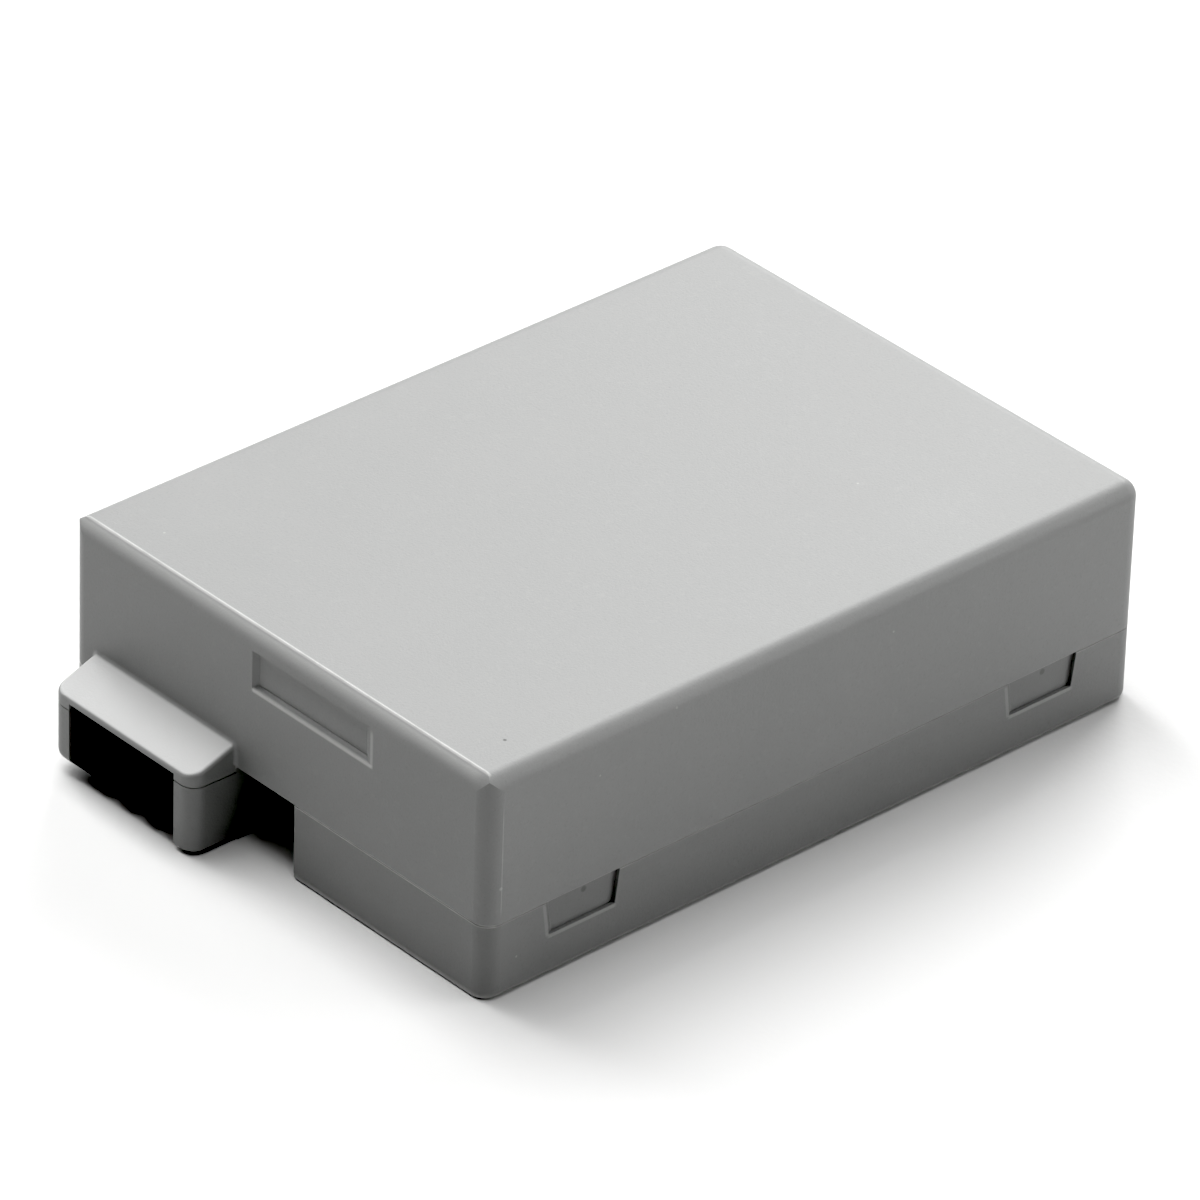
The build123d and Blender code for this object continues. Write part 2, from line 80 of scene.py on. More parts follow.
class Finish:
    # one material and the nodes on its sheet
    def __init__(self, name):
        self.material = bpy.data.materials.new(name)
        self.material.use_nodes = True
        self.tree = self.material.node_tree
        self.tree.nodes.clear()
        self.spotOnPart = None

    def add(self, kind, settings=None, sockets=None, out=0):
        # settings come first, because an operation or data type can change the sockets
        node = self.tree.nodes.new(kind)
        for key, value in (settings or {}).items():
            setattr(node, key, value)
        for key, value in (sockets or {}).items():
            if isinstance(value, Signal):
                self.tree.links.new(value.socket, node.inputs[key])
            else:
                node.inputs[key].default_value = value
        return Signal(self, node.outputs[out]) if node.outputs else None

    def place(self):
        # where the shaded point lies in the CAD's frame, in millimetres
        if self.spotOnPart is None:
            metres = self.add("ShaderNodeTexCoord", out="Object")
            scaling = {0: metres, "Scale": 1 / mm}
            self.spotOnPart = self.add("ShaderNodeVectorMath", {"operation": "SCALE"}, scaling)
        return self.spotOnPart

    def axis(self, letter):
        return self.add("ShaderNodeSeparateXYZ", None, {0: self.place()}, out=letter)

    def facing(self, letter):
        # how far the surface faces along one axis, from -1 to 1
        normal = self.add("ShaderNodeNewGeometry", out="Normal")
        return self.add("ShaderNodeSeparateXYZ", None, {0: normal}, out=letter)

    def magnitude(self, value):
        return self.add("ShaderNodeMath", {"operation": "ABSOLUTE"}, {0: value})

    def noise(self, size, detail=2.0, roughness=0.5, stretch=(1, 1, 1)):
        # grey noise whose blobs are about size millimetres across
        spot = self.add("ShaderNodeVectorMath", {"operation": "MULTIPLY"}, {0: self.place(), 1: stretch})
        return self.add(
            "ShaderNodeTexNoise",
            None,
            {"Vector": spot, "Scale": 1.0 / size, "Detail": detail, "Roughness": roughness},
        )

    def cells(self, size, out="Distance"):
        return self.add("ShaderNodeTexVoronoi", None, {"Vector": self.place(), "Scale": 1.0 / size}, out=out)

    def ramp(self, value, low, high, start=0.0, end=1.0):
        # smooth step from start to end as the value goes from low to high
        return self.add(
            "ShaderNodeMapRange",
            {"interpolation_type": "SMOOTHSTEP"},
            {"Value": value, "From Min": low, "From Max": high, "To Min": start, "To Max": end},
        )

    def fall(self, value, low, high):
        return self.ramp(value, low, high, 1.0, 0.0)

    def band(self, value, centre, half, soft):
        # 1 within half of the centre, running out to 0 over soft
        return self.fall(self.magnitude(value - centre), half, half + soft)

    def mark(self, centre, radius, soft):
        # a round mark at one place on the part
        ends = {0: self.place(), 1: centre}
        away = self.add("ShaderNodeVectorMath", {"operation": "DISTANCE"}, ends, out="Value")
        return self.fall(away, radius, radius + soft)

    def blend(self, mask, first, second):
        colours = {0: mask, 6: rgba(first), 7: rgba(second)}
        return self.add("ShaderNodeMix", {"data_type": "RGBA"}, colours, out=2)

    def relief(self, height, depth, under=None):
        # a bump whose full height is depth millimetres
        sockets = {"Height": height, "Distance": depth * mm, "Strength": 1.0}
        if under is not None:
            sockets["Normal"] = under
        return self.add("ShaderNodeBump", None, sockets)

    def close(self, colour, roughness, normal, metallic=0.0, constants=None):
        sockets = {"Base Color": rgba(colour), "Roughness": roughness, "Metallic": metallic}
        sockets["Normal"] = normal
        sockets.update(constants or {})
        surface = self.add("ShaderNodeBsdfPrincipled", None, sockets)
        self.add("ShaderNodeOutputMaterial", None, {"Surface": surface})
        return self.material


def rgba(colour):
    return colour if isinstance(colour, Signal) else (*colour, 1.0)


def scaled(values, share):
    # a colour or a point, each number times the same share
    return tuple(value * share for value in values)


def past(edge, offsets):
    # places at small offsets from an edge of the part
    return [edge + offset for offset in offsets]


# colour and mask of the painted highlight along the crest over the terminal end
crestHighlight = {
    "colour": (0.47, 0.47, 0.465),
    "band": (0.05, 0.09),
    "fromTop": (-0.12, -0.04),
    "patchSize": 2.2,
    "patchStretch": (1, 0.2, 0.2),
    "patchRange": (0.25, 0.6),
    "least": 0.55,
}


def crestMask(f):
    # painted highlight: the crest over the terminal end is drawn pale along its length, more here than there
    kit = crestHighlight
    crest = f.band(f.axis("Y"), case["crestY"], *kit["band"])
    crest = crest * f.ramp(f.axis("Z"), *past(case["height"], kit["fromTop"]))
    patches = f.noise(kit["patchSize"], detail=3.0, stretch=kit["patchStretch"])
    return crest * f.ramp(patches, *kit["patchRange"], kit["least"], 1.0)


# pale colours painted on the edges, the parting groove, the foot and the block's roof in place of light and
# highlights
edgeLightPaint = {
    "paintedLight": (0.52, 0.52, 0.515),
    "roof": (0.435, 0.437, 0.434),
    "seam": (0.34, 0.34, 0.336),
    "caseStart": (-0.08, -0.04),
    "roundingZ": (13.8, 14.7),
    "roundingY": (-23.0, -22.8),
    "roundingX": (16.2, 17.4),
    "roundingShare": 0.5,
    "roofY": (-0.3, 0.0),
    "roofFacing": (0.6, 0.9),
    "seamBand": (0.05, 0.05),
    "patchSize": 3.0,
    "patchRange": (0.25, 0.65),
    "least": 0.5,
    "endSeamY": (-22.8, -22.4),
    "endSeamShare": 0.9,
    "footZ": (0.1, 0.5),
    "footShare": 0.8,
}


def onCase(f):
    # 0 on the terminal block, 1 on the case behind it
    return f.ramp(f.axis("Y"), *past(case["frontY"], edgeLightPaint["caseStart"]))


def paintEdgeLight(f, colour):
    kit = edgeLightPaint
    x, y, z = f.axis("X"), f.axis("Y"), f.axis("Z")
    # painted highlight on the rounding above the end face, less and less downwards and not round the corner
    rounding = f.ramp(z, *kit["roundingZ"]) * f.fall(y, *kit["roundingY"]) * f.fall(x, *kit["roundingX"])
    colour = f.blend(rounding * kit["roundingShare"], colour, kit["paintedLight"])
    # painted light: the block's roof is drawn paler, making up for the light it gets less of than the top
    roof = f.fall(y, *past(case["frontY"], kit["roofY"])) * f.ramp(f.facing("Z"), *kit["roofFacing"])
    colour = f.blend(roof, colour, kit["roof"])
    # painted light on the lips of the parting groove, lifting the groove's shade, more here than there and
    # most on the end face
    patches = f.ramp(f.noise(kit["patchSize"]), *kit["patchRange"], kit["least"], 1.0)
    seam = f.band(z, case["seamHeight"], *kit["seamBand"]) * onCase(f) * patches
    colour = f.blend(seam, colour, kit["seam"])
    endSeam = seam * f.ramp(y, *kit["endSeamY"], kit["endSeamShare"], 0.0)
    colour = f.blend(endSeam, colour, kit["paintedLight"])
    # painted light on the edge that the case stands on, lifting the dark shade under it
    foot = f.fall(z, *kit["footZ"])
    return f.blend(foot * kit["footShare"], colour, kit["paintedLight"])


panelLip = {
    "endFaceY": (0.1, 0.2),
    "sillDrop": 0.08,
    "sillBand": (0.04, 0.15),
    "sillStart": (-0.1, 0.1),
    "sillEnd": (0.1, 0.35),
    "jambGap": 0.16,
    "jambBand": (0.04, 0.14),
    "jambFoot": (-0.2, 0.0),
    "jambHead": (-0.55, -0.05),
    "jambShare": 0.5,
}


def panelLips(f, colour):
    # painted highlights on the rolled lips below the end panel and right of it
    kit = panelLip
    x, y, z = f.axis("X"), f.axis("Y"), f.axis("Z")
    onEnd = f.fall(y, *past(case["frontY"], kit["endFaceY"])) * onCase(f)
    sill = f.band(z, panel["bottom"] - kit["sillDrop"], *kit["sillBand"])
    sill = sill * f.ramp(x, *past(panel["left"], kit["sillStart"]))
    sill = sill * f.fall(x, *past(panel["right"], kit["sillEnd"]))
    jamb = f.band(x, panel["right"] + kit["jambGap"], *kit["jambBand"])
    jamb = jamb * f.ramp(z, *past(panel["bottom"], kit["jambFoot"]))
    jamb = jamb * f.fall(z, *past(panel["top"], kit["jambHead"]))
    colour = f.blend(sill * onEnd, colour, edgeLightPaint["paintedLight"])
    return f.blend(jamb * onEnd * kit["jambShare"], colour, edgeLightPaint["paintedLight"])


pocketLip = {
    "sideFaceX": (17.95, 17.99),
    "frontGap": -0.12,
    "frontBand": (0.06, 0.12),
    "frontFoot": (-0.15, 0.0),
    "frontHead": (-0.25, 0.0),
    "frontShare": 0.22,
    "underDrop": 0.14,
    "underBand": (0.06, 0.1),
    "underInset": 0.4,
    "underRunOut": 0.3,
    "underShare": 0.30,
}


def pocketLips(f, colour):
    # painted highlights on the same lips along the slanted front edge of each pocket and under it
    kit = pocketLip
    x, y, z = f.axis("X"), f.axis("Y"), f.axis("Z")
    onSide = f.ramp(f.magnitude(x), *kit["sideFaceX"])
    for centreY in pocket["centresY"]:
        fromFront = y - (centreY - pocket["mouthHalf"]) - (case["seamHeight"] - z) * pocket["slant"]
        front = f.band(fromFront, kit["frontGap"], *kit["frontBand"])
        front = front * f.ramp(z, *past(pocket["bottom"], kit["frontFoot"]))
        front = front * f.fall(z, *past(case["seamHeight"], kit["frontHead"]))
        under = f.band(z, pocket["bottom"] - kit["underDrop"], *kit["underBand"])
        under = under * f.band(y, centreY, pocket["mouthHalf"] - kit["underInset"], kit["underRunOut"])
        colour = f.blend(front * onSide * kit["frontShare"], colour, edgeLightPaint["paintedLight"])
        colour = f.blend(under * onSide * kit["underShare"], colour, edgeLightPaint["paintedLight"])
    return colour


mouldLineAndSheen = {
    "sideFaceX": (17.9, 17.97),
    "lineY": -22.28,
    "lineBand": (0.012, 0.05),
    "lineFoot": (5.2, 6.2),
    "lineHead": (11.5, 13.2),
    "lineShare": 0.34,
    "tickPlace": (18.0, -22.33, 7.34),
    "tickRadius": (0.05, 0.1),
    "tickShare": 0.6,
    "height": 0.01,
}


def mouldLineAndSheenMarks(f):
    # witness line of the mould's side slide, just past the rounded corner, and the tick on it: low ridges in
    # the bump, both drawn pale as a painted highlight
    kit = mouldLineAndSheen
    z = f.axis("Z")
    side = f.ramp(f.axis("X"), *kit["sideFaceX"])
    line = f.band(f.axis("Y"), kit["lineY"], *kit["lineBand"]) * side
    line = line * f.ramp(z, *kit["lineFoot"]) * f.fall(z, *kit["lineHead"])
    return line, f.mark(kit["tickPlace"], *kit["tickRadius"]) * side


smallMarks = {
    "print": (0.10, 0.10, 0.098),
    "greySpotOffset": 0.28,
    "greySpotZ": 4.5,
    "greySpotRadius": (0.12, 0.14),
    "greySpotShare": 0.45,
    "speck": (0.07, 0.07, 0.068),
    "speckPlace": (15.24, -19.85, 14.7),
    "speckRadius": (0.06, 0.09),
    "speckShare": 0.85,
    "dust": (0.6, 0.6, 0.58),
    "dustPitch": 2.6,
    "dustRadius": (0.018, 0.036),
    "dustPick": (0.88, 0.9),
    "dustShare": 0.3,
}


def speckled(f, colour):
    kit = smallMarks
    # a grey spot in every pocket
    for centreY in pocket["centresY"]:
        for sideX in (-pocket["faceX"], pocket["faceX"]):
            greySpot = f.mark((sideX, centreY + kit["greySpotOffset"], kit["greySpotZ"]), *kit["greySpotRadius"])
            colour = f.blend(greySpot * kit["greySpotShare"], colour, kit["print"])
    # a dark grain on the top and a few pale specks of dust
    speck = f.mark(kit["speckPlace"], *kit["speckRadius"])
    colour = f.blend(speck * kit["speckShare"], colour, kit["speck"])
    lot = f.add("ShaderNodeSeparateColor", None, {0: f.cells(kit["dustPitch"], out="Color")})
    dust = f.fall(f.cells(kit["dustPitch"]), *kit["dustRadius"]) * f.ramp(lot, *kit["dustPick"])
    return f.blend(dust * kit["dustShare"], colour, kit["dust"])


mouldedShell = {
    "colour": (0.276, 0.278, 0.275),
    "paler": (0.290, 0.292, 0.288),
    "darker": (0.266, 0.269, 0.266),
    "driftSize": 9.0,
    "driftRange": (0.3, 0.75),
    "fleckSize": 0.55,
    "fleckRange": (0.52, 0.8),
    "fleckShare": 0.55,
    "grainSize": 0.16,
    "grainRange": (0.55, 0.78),
    "grainShare": 0.5,
    "grainShade": 0.86,
    "grainDepth": 0.011,
    "pitSize": 0.07,
    "pitShare": 0.4,
    "swellSize": 6.0,
    "swellDepth": 0.006,
    "roughness": 0.50,
    "roughnessOfDrift": 0.12,
    "roughnessOfGrain": 0.16,
    "polishOfCrest": 0.16,
}


def mouldedGrey(name, tint=1.0):
    # spark-eroded mould finish: slow tone drift, flecks and fine grain, then painted highlights and painted
    # light on crest, edges, roof, groove, foot and lips, the pale mould line, and specks and dust over them
    kit = mouldedShell
    f = Finish(name)
    plain, paler, darker = [scaled(kit[key], tint) for key in ("colour", "paler", "darker")]
    drift = f.noise(kit["driftSize"], detail=3.0)
    grain = f.noise(kit["grainSize"], roughness=0.6)
    flecks = f.noise(kit["fleckSize"], roughness=0.7)
    colour = f.blend(f.ramp(drift, *kit["driftRange"]), darker, plain)
    colour = f.blend(f.ramp(flecks, *kit["fleckRange"]) * kit["fleckShare"], colour, paler)
    grainMask = f.ramp(grain, *kit["grainRange"]) * kit["grainShare"]
    colour = f.blend(grainMask, colour, scaled(plain, kit["grainShade"]))
    # painted highlight on the crest, then painted light on the edges, roof, parting groove, foot, lips and
    # mould line
    crest = crestMask(f)
    colour = f.blend(crest, colour, crestHighlight["colour"])
    colour = paintEdgeLight(f, colour)
    colour = panelLips(f, colour)
    colour = pocketLips(f, colour)
    line, tick = mouldLineAndSheenMarks(f)
    colour = f.blend(line * mouldLineAndSheen["lineShare"], colour, crestHighlight["colour"])
    colour = f.blend(tick * mouldLineAndSheen["tickShare"], colour, crestHighlight["colour"])
    colour = speckled(f, colour)
    roughness = kit["roughness"] + (drift - 0.5) * kit["roughnessOfDrift"]
    roughness = roughness + (grain - 0.5) * kit["roughnessOfGrain"] - crest * kit["polishOfCrest"]
    swell = f.relief(f.noise(kit["swellSize"], detail=1.0), kit["swellDepth"])
    pits = grain + f.noise(kit["pitSize"], detail=1.0) * kit["pitShare"]
    bump = f.relief(pits, kit["grainDepth"], swell)
    bump = f.relief(line + tick, mouldLineAndSheen["height"], bump)
    return f.close(colour, roughness, bump)


insertPlastic = {
    "colour": (0.006, 0.006, 0.0065),
    "paler": (0.012, 0.012, 0.013),
    "flowSize": 0.5,
    "flowStretch": (0.4, 1, 1.6),
    "flowRange": (0.45, 0.75),
    "grainSize": 0.08,
    "grainDepth": 0.003,
    "roughness": 0.6,
    "uneven": 0.2,
    "gloss": 0.2,
}


def glassFilledBlack(name):
    # black insert: satin, with the faint flow streaks of a filled plastic
    kit = insertPlastic
    f = Finish(name)
    flow = f.noise(kit["flowSize"], detail=4.0, stretch=kit["flowStretch"])
    grain = f.noise(kit["grainSize"])
    colour = f.blend(f.ramp(flow, *kit["flowRange"]), kit["colour"], kit["paler"])
    roughness = kit["roughness"] + (flow - 0.5) * kit["uneven"]
    bump = f.relief(grain, kit["grainDepth"])
    return f.close(colour, roughness, bump, constants={"Specular IOR Level": kit["gloss"]})


giltSheet = {
    "colour": (0.86, 0.62, 0.26),
    "worn": (0.62, 0.56, 0.46),
    "drawSize": 0.06,
    "drawStretch": (1, 0.08, 1),
    "drawDepth": 0.0008,
    "rubSize": 0.5,
    "rubStretch": (1, 0.3, 1),
    "rubRange": (0.5, 0.72),
    "rubShare": 0.5,
    "roughness": 0.22,
    "uneven": 0.18,
}


def giltSpring(name):
    # gold plate over copper alloy, drawn along the blades and rubbed where a blade rides
    kit = giltSheet
    f = Finish(name)
    drawn = f.noise(kit["drawSize"], detail=3.0, stretch=kit["drawStretch"])
    rub = f.ramp(f.noise(kit["rubSize"], stretch=kit["rubStretch"]), *kit["rubRange"])
    colour = f.blend(rub * kit["rubShare"], kit["colour"], kit["worn"])
    roughness = kit["roughness"] + (drawn - 0.5) * kit["uneven"]
    return f.close(colour, roughness, f.relief(drawn, kit["drawDepth"]), 1.0)


laminate = {
    "mask": (0.012, 0.105, 0.045),
    "track": (0.03, 0.20, 0.085),
    "edge": (0.44, 0.38, 0.20),
    "weave": (0.3, 0.25, 0.12),
    "lanePitch": 0.55,
    "laneEdge": (0.24, 0.29),
    "wander": 1.2,
    "wanderSize": 4.0,
    "wanderRange": (0.3, 0.7),
    "gapSize": 3.0,
    "gapStretch": (0.3, 1, 1),
    "gapEdge": (0.45, 0.5),
    "trackDepth": 0.03,
    "cutFacing": (0.4, 0.6),
    "weaveScale": 2.2,
    "weaveBend": 1.0,
    "weaveShare": 0.3,
    "roughness": 0.3,
    "edgeRoughness": 0.4,
    "smearSize": 0.6,
    "uneven": 0.15,
}


def boardGreen(name):
    # solder mask over copper tracks, and bare woven laminate at the cut edges
    kit = laminate
    f = Finish(name)
    wander = f.ramp(f.noise(kit["wanderSize"]), *kit["wanderRange"]) * kit["wander"]
    across = {0: f.axis("Z") + wander, 1: kit["lanePitch"]}
    lane = f.add("ShaderNodeMath", {"operation": "PINGPONG"}, across)
    gaps = f.ramp(f.noise(kit["gapSize"], stretch=kit["gapStretch"]), *kit["gapEdge"])
    tracks = f.ramp(lane, *kit["laneEdge"]) * gaps
    colour = f.blend(tracks, kit["mask"], kit["track"])
    # faces that look along Y are coated; the sawn edges aren't
    cutEdge = f.fall(f.magnitude(f.facing("Y")), *kit["cutFacing"])
    threads = {"Vector": f.place(), "Scale": kit["weaveScale"], "Distortion": kit["weaveBend"]}
    weave = f.add("ShaderNodeTexWave", {"wave_type": "BANDS"}, threads, out="Fac")
    colour = f.blend(cutEdge, colour, kit["edge"])
    colour = f.blend(weave * cutEdge * kit["weaveShare"], colour, kit["weave"])
    smears = (f.noise(kit["smearSize"]) - 0.5) * kit["uneven"]
    roughness = kit["roughness"] + cutEdge * kit["edgeRoughness"] + smears
    return f.close(colour, roughness, f.relief(tracks, kit["trackDepth"]))


chipResin = {
    "colour": (0.018, 0.018, 0.020),
    "paler": (0.045, 0.045, 0.047),
    "grainSize": 0.06,
    "grainRange": (0.4, 0.75),
    "grainDepth": 0.004,
    "roughness": 0.62,
    "uneven": 0.25,
    "lead": (0.62, 0.62, 0.60),
    "leadPolish": 0.3,
    "leadStart": (-0.01, 0.01),
    "bodyEnd": (0.0, 0.02),
}


def chipBlack(name, leads=None):
    # moulded resin; leads tells where bare tin starts: nearer to the board than topY, and outside the body
    kit = chipResin
    f = Finish(name)
    grain = f.noise(kit["grainSize"], detail=3.0)
    colour = f.blend(f.ramp(grain, *kit["grainRange"]), kit["colour"], kit["paler"])
    metal = 0.0
    roughness = kit["roughness"] + (grain - 0.5) * kit["uneven"]
    if leads is not None:
        away = f.magnitude(f.axis("Z") - leads["middleZ"])
        tin = f.fall(f.axis("Y"), *past(leads["topY"], kit["leadStart"]))
        tin = tin * f.ramp(away, *past(leads["bodyHalf"], kit["bodyEnd"]))
        colour = f.blend(tin, colour, kit["lead"])
        roughness = roughness - tin * kit["leadPolish"]
        metal = tin
    return f.close(colour, roughness, f.relief(grain, kit["grainDepth"]), metal)


firedBody = {
    "tin": (0.66, 0.65, 0.62),
    "shade": 0.75,
    "grainSize": 0.05,
    "grainRange": (0.35, 0.7),
    "grainDepth": 0.004,
    "roughness": 0.48,
    "uneven": 0.2,
    "tinPolish": 0.15,
    "tinStart": (-0.02, 0.02),
}
# where each row of chips starts, from one chip to the next, and the length of a chip and of its tinned ends
chipRows = {
    "sensorBody": {"colour": (0.05, 0.12, 0.05), "start": -6.3, "pitch": 50.0, "length": 2.6, "end": 0.35},
    "fuseBody": {"colour": (0.30, 0.32, 0.24), "start": 7.4, "pitch": 50.0, "length": 3.2, "end": 0.5},
    "resistorBody": {"colour": (0.02, 0.02, 0.022), "start": 5.4, "pitch": 50.0, "length": 3.2, "end": 0.5},
    "capacitorBody": {"colour": (0.36, 0.24, 0.14), "start": -8.35, "pitch": 1.5, "length": 1.0, "end": 0.22},
    "smallResistorBody": {
        "colour": (0.02, 0.02, 0.025),
        "start": -9.7,
        "pitch": 1.5,
        "length": 1.0,
        "end": 0.22,
    },
}


def chipCeramic(name):
    # fired bodies between tinned ends; a pitch longer than the board means a chip on its own
    kit = firedBody
    row = chipRows[name]
    f = Finish(name)
    grain = f.noise(kit["grainSize"], detail=3.0)
    repeat = {0: f.axis("X") - row["start"], 1: row["pitch"], 2: 0.0}
    along = f.add("ShaderNodeMath", {"operation": "WRAP"}, repeat)
    half = row["length"] / 2
    tinned = f.ramp(f.magnitude(along - half), *past(half - row["end"], kit["tinStart"]))
    darker = scaled(row["colour"], kit["shade"])
    colour = f.blend(f.ramp(grain, *kit["grainRange"]), row["colour"], darker)
    colour = f.blend(tinned, colour, kit["tin"])
    roughness = kit["roughness"] - tinned * kit["tinPolish"] + (grain - 0.5) * kit["uneven"]
    return f.close(colour, roughness, f.relief(grain, kit["grainDepth"]), tinned)


drawnCan = {
    "colour": (0.66, 0.67, 0.68),
    "dull": (0.52, 0.53, 0.55),
    "drawSize": 0.12,
    "drawStretch": (1, 0.03, 1),
    "drawDepth": 0.002,
    "scuffSize": 2.5,
    "scuffStretch": (1, 0.5, 1),
    "scuffRange": (0.5, 0.8),
    "roughness": 0.34,
    "scuffRoughness": 0.12,
    "uneven": 0.22,
}


def canMetal(name):
    # deep-drawn aluminium: streaks along the draw and a few handling scuffs
    kit = drawnCan
    f = Finish(name)
    draw = f.noise(kit["drawSize"], detail=4.0, stretch=kit["drawStretch"])
    scuff = f.noise(kit["scuffSize"], detail=5.0, roughness=0.65, stretch=kit["scuffStretch"])
    scuffed = f.ramp(scuff, *kit["scuffRange"])
    colour = f.blend(scuffed, kit["colour"], kit["dull"])
    roughness = kit["roughness"] + (draw - 0.5) * kit["uneven"] + scuffed * kit["scuffRoughness"]
    return f.close(colour, roughness, f.relief(draw, kit["drawDepth"]), 1.0)


rolledNickel = {
    "colour": (0.66, 0.63, 0.57),
    "blued": (0.36, 0.34, 0.38),
    "rollSize": 0.08,
    "rollStretch": (0.05, 1, 1),
    "rollDepth": 0.001,
    "weldY": -18.5,
    "weldRadius": (0.22, 0.12),
    "heatRadius": (0.3, 0.4),
    "heatShare": 0.5,
    "weldDepth": 0.05,
    "roughness": 0.3,
    "weldRoughness": 0.15,
    "uneven": 0.2,
}
# x and z of each weld, in pairs on one pad after another
weldSpots = (
    (0.0, 10.45), (1.1, 10.45), (10.0, 10.45), (11.0, 10.45),
    (0.0, 4.15), (1.1, 4.15), (-10.0, 4.15), (-9.0, 4.15),
)


def strapNickel(name):
    # rolled strip with pairs of weld spots where it lies on a cell's pads, blued around them
    kit = rolledNickel
    f = Finish(name)
    rolled = f.noise(kit["rollSize"], detail=3.0, stretch=kit["rollStretch"])
    spots = 0.0
    heat = 0.0
    for spotX, spotZ in weldSpots:
        spots = spots + f.mark((spotX, kit["weldY"], spotZ), *kit["weldRadius"])
        heat = heat + f.mark((spotX, kit["weldY"], spotZ), *kit["heatRadius"])
    colour = f.blend(heat * kit["heatShare"], kit["colour"], kit["blued"])
    roughness = kit["roughness"] + (rolled - 0.5) * kit["uneven"] + spots * kit["weldRoughness"]
    bump = f.relief(0.0 - spots, kit["weldDepth"], f.relief(rolled, kit["rollDepth"]))
    return f.close(colour, roughness, bump, 1.0)


pressedFibre = {
    "colour": (0.55, 0.47, 0.30),
    "fleck": (0.38, 0.31, 0.19),
    "hairSize": 0.35,
    "hairStretch": (0.35, 1, 1.2),
    "hairRange": (0.52, 0.68),
    "hairDepth": 0.015,
    "roughness": 0.8,
    "uneven": 0.2,
}


def fibreBoard(name):
    # pressed fibre with short dark hairs
    kit = pressedFibre
    f = Finish(name)
    hairs = f.noise(kit["hairSize"], detail=5.0, roughness=0.7, stretch=kit["hairStretch"])
    colour = f.blend(f.ramp(hairs, *kit["hairRange"]), kit["colour"], kit["fleck"])
    roughness = kit["roughness"] + (hairs - 0.5) * kit["uneven"]
    return f.close(colour, roughness, f.relief(hairs, kit["hairDepth"]))


wovenTape = {
    "colour": (0.72, 0.70, 0.63),
    "thread": (0.60, 0.58, 0.51),
    "threadSize": 0.3,
    "warpStretch": (4, 0.3, 1),
    "weftStretch": (0.3, 4, 1),
    "threadRange": (0.42, 0.6),
    "threadDepth": 0.01,
    "roughness": 0.6,
    "threadPolish": 0.15,
}


def tapeWhite(name):
    # tissue tape: crossing threads under the glue
    kit = wovenTape
    f = Finish(name)
    warp = f.noise(kit["threadSize"], detail=1.0, stretch=kit["warpStretch"])
    weft = f.noise(kit["threadSize"], detail=1.0, stretch=kit["weftStretch"])
    threads = f.ramp((warp + weft) * 0.5, *kit["threadRange"])
    colour = f.blend(threads, kit["thread"], kit["colour"])
    roughness = kit["roughness"] - threads * kit["threadPolish"]
    return f.close(colour, roughness, f.relief(threads, kit["threadDepth"]))


foam = {
    "colour": (0.022, 0.022, 0.024),
    "wall": (0.06, 0.06, 0.062),
    "poreSize": 0.28,
    "poreRange": (0.25, 0.6),
    "poreDepth": 0.06,
    "roughness": 0.9,
    "wallPolish": 0.15,
}


def foamBlack(name):
    # closed-cell foam
    kit = foam
    f = Finish(name)
    pores = f.cells(kit["poreSize"])
    walls = f.ramp(pores, *kit["poreRange"])
    colour = f.blend(walls, kit["colour"], kit["wall"])
    roughness = kit["roughness"] - walls * kit["wallPolish"]
    return f.close(colour, roughness, f.relief(pores, kit["poreDepth"]))


cutoffResin = {
    "colour": (0.03, 0.027, 0.024),
    "paler": (0.07, 0.064, 0.055),
    "mottleSize": 0.3,
    "mottleRange": (0.4, 0.7),
    "mottleDepth": 0.01,
    "roughness": 0.5,
    "uneven": 0.2,
}


def cutoffCase(name):
    # mottled resin body of the thermal cut-off
    kit = cutoffResin
    f = Finish(name)
    mottle = f.noise(kit["mottleSize"], detail=4.0)
    colour = f.blend(f.ramp(mottle, *kit["mottleRange"]), kit["colour"], kit["paler"])
    roughness = kit["roughness"] + (mottle - 0.5) * kit["uneven"]
    return f.close(colour, roughness, f.relief(mottle, kit["mottleDepth"]))


gilt = giltSpring("giltSpring")
resin = chipBlack("chipResin")
nickel = strapNickel("rolledNickel")
foamPad = foamBlack("closedCellFoam")
can = canMetal("drawnCan")
switchLeads = {"topY": -20.6, "middleZ": 3.83, "bodyHalf": 1.5}
finishes = {
    "upper_shell": mouldedGrey("mouldedGreyLid"),
    "lower_shell": mouldedGrey("mouldedGreyTray", 0.885),
    "terminal_housing": glassFilledBlack("glassFilledBlack"),
    "contact_plus": gilt,
    "contact_sense": gilt,
    "contact_data": gilt,
    "contact_minus": gilt,
    "circuit_board": boardGreen("coatedLaminate"),
    "protection_controller": resin,
    "power_switch": chipBlack("chipResinWithLeads", switchLeads),
    "identity_chip": resin,
    "thermistor": chipCeramic("sensorBody"),
    "current_fuse": chipCeramic("fuseBody"),
    "sense_resistor": chipCeramic("resistorBody"),
    "chip_capacitors": chipCeramic("capacitorBody"),
    "chip_resistors": chipCeramic("smallResistorBody"),
    "cell_upper": can,
    "cell_lower": can,
    "cell_tape": tapeWhite("tissueTape"),
    "cap_insulator": fibreBoard("pressedFibre"),
    "strap_series": nickel,
    "strap_plus": nickel,
    "strap_minus": nickel,
    "strap_centre_tap": nickel,
    "thermal_cutoff": cutoffCase("cutoffResin"),
    "top_pad": foamPad,
    "bottom_pad": foamPad,
    "end_pad": foamPad,
}
for nodeName, finish in finishes.items():
    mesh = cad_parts[nodeName].data
    mesh.materials.clear()
    mesh.materials.append(finish)
print("stage: finishes on", len(finishes), "nodes")


